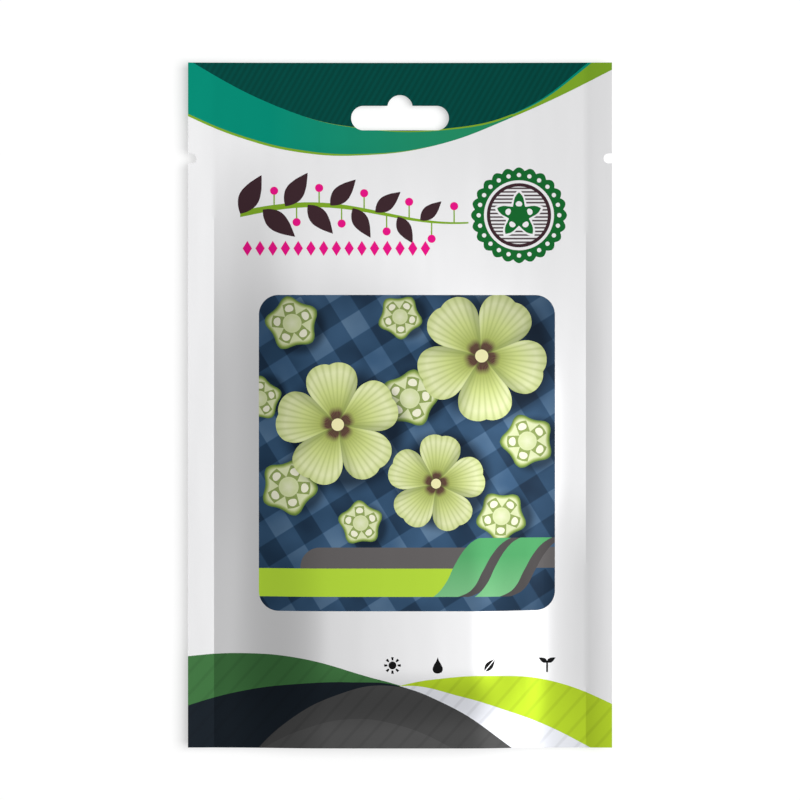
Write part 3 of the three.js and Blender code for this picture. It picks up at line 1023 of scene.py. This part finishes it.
def rosette(inks):
    """A scalloped green ring round a finely lined disc with a five-pointed star, one unit in radius."""
    tree, place, x, y = new_group("rosette", {"Colour": "NodeSocketColor", "Mask": "NodeSocketFloat"})
    radius, part = polar(tree, place, x, y, SCALLOPS)
    bulge = add_node(tree, "ShaderNodeMath", [part, math.pi], operation="MULTIPLY")
    scallop = add_node(tree, "ShaderNodeMath", [bulge], operation="COSINE")
    rim = add_node(tree, "ShaderNodeMath", [scallop, SCALLOP_DEPTH, 1 - SCALLOP_DEPTH], operation="MULTIPLY_ADD")
    mask = add_node(tree, "ShaderNodeMath", [radius, rim], operation="LESS_THAN")
    lines = line_pattern(tree, place, *DISC_LINES)
    inner = add_node(tree, "ShaderNodeMath", [radius, DISC_RADIUS], operation="LESS_THAN")
    lined = add_node(tree, "ShaderNodeMath", [lines, inner], operation="MULTIPLY")
    ring = add_node(tree, "ShaderNodeMath", [radius, CIRCLE_RADIUS, CIRCLE_HALF], operation="COMPARE")
    green_ring = add_node(tree, "ShaderNodeMath", [radius, RING_INNER], operation="GREATER_THAN")
    dot_side = add_node(tree, "ShaderNodeMath", [part, 2 * math.pi / SCALLOPS * DOT_RING], operation="MULTIPLY")
    in_scallop = add_node(tree, "ShaderNodeCombineXYZ", [dot_side, radius])
    dot = disc_mask(tree, in_scallop, (0, DOT_RING, 0), DOT_RADIUS)
    star_radius, star_part = polar(tree, place, x, y, STAR_POINTS)
    star_fold = add_node(tree, "ShaderNodeMath", [star_part], operation="ABSOLUTE")
    star_rim = add_node(tree, "ShaderNodeFloatCurve", {1: star_fold}, points=STAR_OUTLINE)
    halo = add_node(tree, "ShaderNodeMath", [star_rim, STAR_HALO], operation="ADD")
    in_halo = add_node(tree, "ShaderNodeMath", [star_radius, halo], operation="LESS_THAN")
    in_star = add_node(tree, "ShaderNodeMath", [star_radius, star_rim], operation="LESS_THAN")
    sideways = add_node(tree, "ShaderNodeMath", [star_fold, star_radius], operation="MULTIPLY")
    in_point = add_node(tree, "ShaderNodeCombineXYZ", [sideways, star_radius])
    star_dot = disc_mask(tree, in_point, STAR_DOT_MIDDLE, STAR_DOT_RADIUS)
    white = inks.film
    colour = overprint(
        tree,
        white,
        [
            (lined, inks.brown),
            (ring, inks.brown),
            (green_ring, linear(ROSETTE_INK)),
            (dot, white),
            (in_halo, white),
            (in_star, linear(ROSETTE_INK)),
            (star_dot, white),
        ],
    )
    add_node(tree, "NodeGroupOutput", [colour, mask])
    return tree


# Back print: a sowing calendar of twelve months, a row of seedlings in soil, and a ruled box for notes
CALENDAR_LOW = (-45, 32)
CALENDAR_HIGH = (45, 60)
MONTHS = 12
SOW_MONTHS = (2, 6)
PICK_MONTHS = (5, 9)
SOIL_LOW = (-45, 2)
SOIL_HIGH = (45, 9)
SEEDLINGS = (-30, -10, 10, 30)
NOTES_LOW = (-45, -58)
NOTES_HIGH = (45, -10)
NOTE_LINE = 8
NOTE_MARGIN = (5, 4)
SOIL_RADIUS = 1
SEEDLING_RISE = 5.5
SEEDLING_SIZE = 6
SOWN_DEPTH = 3.5
SOWN_RADIUS = 1.6
BOX_RADIUS = 3
OUTLINE_WIDTH = 0.5


def outlined_box(tree, place, low, high, layers, outline, fill):
    """Add a rounded box with an outline to the layers."""
    inner_low = (low[0] + OUTLINE_WIDTH, low[1] + OUTLINE_WIDTH)
    inner_high = (high[0] - OUTLINE_WIDTH, high[1] - OUTLINE_WIDTH)
    layers.append((box_mask(tree, place, low, high, BOX_RADIUS), outline))
    layers.append((box_mask(tree, place, inner_low, inner_high, BOX_RADIUS - OUTLINE_WIDTH), fill))


def back_print(tree, place, inks):
    """What a gardener needs, without words: when to sow and pick, how deep, and room for notes."""
    x = add_node(tree, "ShaderNodeSeparateXYZ", [place])
    y = x.node.outputs["Y"]
    layers = []
    outlined_box(tree, place, CALENDAR_LOW, CALENDAR_HIGH, layers, inks.green, inks.film)
    month = (CALENDAR_HIGH[0] - CALENDAR_LOW[0]) / MONTHS
    middle = (CALENDAR_LOW[1] + CALENDAR_HIGH[1]) / 2
    for (first, last), colour, low, high in (
        (SOW_MONTHS, inks.olive, middle, CALENDAR_HIGH[1] - OUTLINE_WIDTH),
        (PICK_MONTHS, inks.teal, CALENDAR_LOW[1] + OUTLINE_WIDTH, middle),
    ):
        # The back is read from the other side, so the year runs towards -X
        start = (CALENDAR_HIGH[0] - last * month, low)
        end = (CALENDAR_HIGH[0] - first * month, high)
        layers.append((box_mask(tree, place, start, end, 0), colour))
    for i in range(1, MONTHS):
        line = CALENDAR_LOW[0] + i * month
        edges = (line - OUTLINE_WIDTH / 2, CALENDAR_LOW[1]), (line + OUTLINE_WIDTH / 2, CALENDAR_HIGH[1])
        layers.append((box_mask(tree, place, *edges, 0), inks.green))
    across = (CALENDAR_LOW[0], middle - OUTLINE_WIDTH / 2), (CALENDAR_HIGH[0], middle + OUTLINE_WIDTH / 2)
    layers.append((box_mask(tree, place, *across, 0), inks.green))
    layers.append((box_mask(tree, place, SOIL_LOW, SOIL_HIGH, SOIL_RADIUS), inks.brown))
    for at in SEEDLINGS:
        seedling = placed(tree, place, (at, SOIL_HIGH[1] + SEEDLING_RISE), 0, SEEDLING_SIZE)
        layers.append((sprout_sign(tree, seedling), inks.green))
        sown = (at, SOIL_HIGH[1] - SOWN_DEPTH, 0)
        layers.append((disc_mask(tree, place, sown, SOWN_RADIUS), inks.lime))
    outlined_box(tree, place, NOTES_LOW, NOTES_HIGH, layers, inks.green, inks.film)
    level = add_node(tree, "ShaderNodeMath", [y, NOTES_LOW[1]], operation="SUBTRACT")
    step = add_node(tree, "ShaderNodeMath", [level, NOTE_LINE / 2], operation="PINGPONG")
    ruled = add_node(tree, "ShaderNodeMath", [step, OUTLINE_WIDTH / 2], operation="LESS_THAN")
    field_low = [low + margin for low, margin in zip(NOTES_LOW, NOTE_MARGIN)]
    field_high = [high - margin for high, margin in zip(NOTES_HIGH, NOTE_MARGIN)]
    field = box_mask(tree, place, field_low, field_high, 0)
    lines = add_node(tree, "ShaderNodeMath", [ruled, field], operation="MULTIPLY")
    layers.append((lines, inks.label_grey))
    return overprint(tree, inks.film, layers)


# The satin laminate: share of its light that the metal layer throws back, and the same where a coat of
# opaque white stands under the picture
FILM_METAL = 0.5
COATED_METAL = 0.15
FILM_ROUGHNESS = 0.45
FILM_SPECULAR = 0.05
# Drawn film is never quite flat: low waves, longer along the web than across it
WAVE_SIZE = (9, 40, 1)
WAVE_DEPTH = 0.05 * MM


def laminate(name, inks, printed=None, coat=None):
    """Drawn film with a metallised layer under a satin coat, printed before it was laminated. The metal
    gives broad, soft reflections in the colour of each ink, and the film's low waves make them waver.
    coat is a mask of where opaque white hides most of the metal."""
    material = bpy.data.materials.new(name)
    material.use_nodes = True
    tree = material.node_tree
    shader = tree.nodes["Principled BSDF"].inputs
    shader["Base Color"].default_value = inks.film
    shader["Metallic"].default_value = FILM_METAL
    shader["Roughness"].default_value = FILM_ROUGHNESS
    shader["Specular IOR Level"].default_value = FILM_SPECULAR
    spot = add_node(tree, "ShaderNodeTexCoord", out="Object")
    place = add_node(tree, "ShaderNodeVectorMath", [spot, (1 / MM, 1 / MM, 0)], operation="MULTIPLY")
    stretched = add_node(tree, "ShaderNodeVectorMath", [place, WAVE_SIZE], operation="DIVIDE")
    waves = add_node(tree, "ShaderNodeTexNoise", {"Vector": stretched, "Scale": 1.0, "Detail": 1.0})
    bump = add_node(tree, "ShaderNodeBump", {"Height": waves, "Distance": WAVE_DEPTH})
    tree.links.new(bump, shader["Normal"])
    if printed:
        tree.links.new(printed(tree, place, inks), shader["Base Color"])
    if coat:
        metal = add_node(
            tree, "ShaderNodeMapRange", [coat(tree, place), 0.0, 1.0, FILM_METAL, COATED_METAL]
        )
        tree.links.new(metal, shader["Metallic"])
    return material


# Lowest height of each printed zone, from the header down
HEADER_FROM = 75.5 * MM
ORNAMENT_FROM = 35 * MM
PICTURE_FROM = -64 * MM


class SEEDPACKET_OT_front_film(bpy.types.Operator):
    """Model the printed front film"""

    bl_idname = "seedpacket.front_film"
    bl_label = "Front film"

    def execute(self, context):
        shape = context.scene.packet_shape
        inks = context.scene.print_inks
        sheet = film_sheet("front_sheet", FilmForm(shape).front, shape.thickness)
        cut_slot_and_notches(sheet, shape)
        zones = (
            (HEADER_FROM, laminate("laminate_header", inks, header_print)),
            (ORNAMENT_FROM, laminate("laminate_ornament", inks, ornament_print)),
            (PICTURE_FROM, laminate("laminate_picture", inks, picture_print, panel_mask)),
            (-HEIGHT, laminate("laminate_footer", inks, footer_print)),
        )
        plain = laminate("laminate_plain", inks)
        finish_film(sheet, 1, zones, plain, plain)
        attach(sheet, "root")
        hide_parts("front_film")
        return {"FINISHED"}


class SEEDPACKET_OT_back_film(bpy.types.Operator):
    """Model the back film"""

    bl_idname = "seedpacket.back_film"
    bl_label = "Back film"

    def execute(self, context):
        shape = context.scene.packet_shape
        inks = context.scene.print_inks
        sheet = film_sheet("back_sheet", FilmForm(shape).back, shape.thickness)
        cut_slot_and_notches(sheet, shape)
        zones = (
            (HEADER_FROM, bpy.data.materials["laminate_header"]),
            (PICTURE_FROM, laminate("laminate_back", inks, back_print)),
            (-HEIGHT, bpy.data.materials["laminate_footer"]),
        )
        plain = bpy.data.materials["laminate_plain"]
        finish_film(sheet, -1, zones, plain, plain)
        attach(sheet, "root")
        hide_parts("back_film")
        return {"FINISHED"}


# Mottles to the millimetre on a seed coat
SEED_MOTTLE = 1.6
SEED_ROUGHNESS = 0.75
SEED_INKS = ((0.3, "#2f352b"), (0.5, "#4b5344"), (0.72, "#788068"))


def seed_coat():
    """Dried okra seed: a matt, grey-green coat with finer dark and pale mottles."""
    material = bpy.data.materials.new("okra_seed_coat")
    material.use_nodes = True
    tree = material.node_tree
    shader = tree.nodes["Principled BSDF"]
    shader.inputs["Roughness"].default_value = SEED_ROUGHNESS
    spot = add_node(tree, "ShaderNodeTexCoord", out="Object")
    mottle = add_node(
        tree, "ShaderNodeTexNoise", {"Vector": spot, "Scale": SEED_MOTTLE / MM, "Detail": 4.0}
    )
    coat = add_node(tree, "ShaderNodeValToRGB", [mottle], stops=SEED_INKS)
    tree.links.new(coat, shader.inputs["Base Color"])
    return material


class SEEDPACKET_OT_seeds(bpy.types.Operator):
    """Finish the loose seeds between the films"""

    bl_idname = "seedpacket.seeds"
    bl_label = "Seeds"

    def execute(self, context):
        coat = seed_coat()
        for name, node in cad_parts.items():
            if name.startswith("seed_"):
                node.data.materials.clear()
                node.data.materials.append(coat)
        return {"FINISHED"}


WHITE = (1, 1, 1, 1)
FLOOR_SIZE = 6
FLOOR_DROP = 0.2 * MM
PAPER_GREY = (0.5, 0.5, 0.5, 1)
PAPER_ROUGHNESS = 0.9
PAPER_GLOW = 0.535
# Width of the camera's sensor in mm, the height at which view_width holds, and the far end of the view
SENSOR_WIDTH = 36
VIEW_HEIGHT = 3.65 * MM
VIEW_END = 20


class SEEDPACKET_OT_stage(bpy.types.Operator):
    """Set up the floor, the light and the camera"""

    bl_idname = "seedpacket.stage"
    bl_label = "Studio stage"

    def execute(self, context):
        stage = context.scene.stage_light
        bpy.ops.object.select_all(action="DESELECT")
        bpy.ops.mesh.primitive_plane_add(size=FLOOR_SIZE, location=(0, 0, -FLOOR_DROP))
        floor = context.object
        floor.name = "floor"
        paper = bpy.data.materials.new("white_sweep")
        paper.use_nodes = True
        sheet = paper.node_tree.nodes["Principled BSDF"].inputs
        sheet["Base Color"].default_value = PAPER_GREY
        sheet["Roughness"].default_value = PAPER_ROUGHNESS
        sheet["Emission Color"].default_value = WHITE
        sheet["Emission Strength"].default_value = PAPER_GLOW
        floor.data.materials.append(paper)
        world = bpy.data.worlds.new("studio")
        context.scene.world = world
        world.use_nodes = True
        world.node_tree.nodes["Background"].inputs["Color"].default_value = WHITE
        world.node_tree.nodes["Background"].inputs["Strength"].default_value = stage.fill
        elevation = stage.key_elevation
        across = stage.key_distance * math.cos(elevation)
        up = stage.key_distance * math.sin(elevation)
        bpy.ops.object.light_add(
            type="AREA", location=(across, 0, up), rotation=(0, math.pi / 2 - elevation, 0)
        )
        key = context.object
        key.name = "key_softbox"
        key.data.energy = stage.key_power
        key.data.size = stage.key_size
        distance = stage.view_width * stage.lens / SENSOR_WIDTH
        bpy.ops.object.camera_add(
            location=(0, stage.view_offset, distance + VIEW_HEIGHT), rotation=(0, 0, 0)
        )
        camera = context.object
        camera.data.lens = stage.lens
        camera.data.clip_end = VIEW_END
        context.scene.camera = camera
        context.scene.view_settings.view_transform = "Standard"
        return {"FINISHED"}


class SEEDPACKET_PT_sidebar(bpy.types.Panel):
    """Lists the packet's pieces in the sidebar"""

    bl_idname = "SEEDPACKET_PT_sidebar"
    bl_label = "Seed Packet"
    bl_space_type = "VIEW_3D"
    bl_region_type = "UI"
    bl_category = "Seed Packet"

    def draw(self, context):
        for operator in OPERATORS:
            self.layout.operator(operator.bl_idname)


GROUPS = {"packet_shape": PacketShape, "print_inks": PrintInks, "stage_light": StageLight}
OPERATORS = (
    SEEDPACKET_OT_front_film,
    SEEDPACKET_OT_back_film,
    SEEDPACKET_OT_seeds,
    SEEDPACKET_OT_stage,
)
CLASSES = (*GROUPS.values(), *OPERATORS, SEEDPACKET_PT_sidebar)


def register():
    for item in CLASSES:
        bpy.utils.register_class(item)
    for name, group in GROUPS.items():
        setattr(bpy.types.Scene, name, bpy.props.PointerProperty(type=group))


def unregister():
    for name in GROUPS:
        delattr(bpy.types.Scene, name)
    for item in reversed(CLASSES):
        bpy.utils.unregister_class(item)


def main():
    register()
    bpy.ops.seedpacket.front_film()
    bpy.ops.seedpacket.back_film()
    bpy.ops.seedpacket.seeds()
    bpy.ops.seedpacket.stage()


if __name__ == "__main__":
    main()
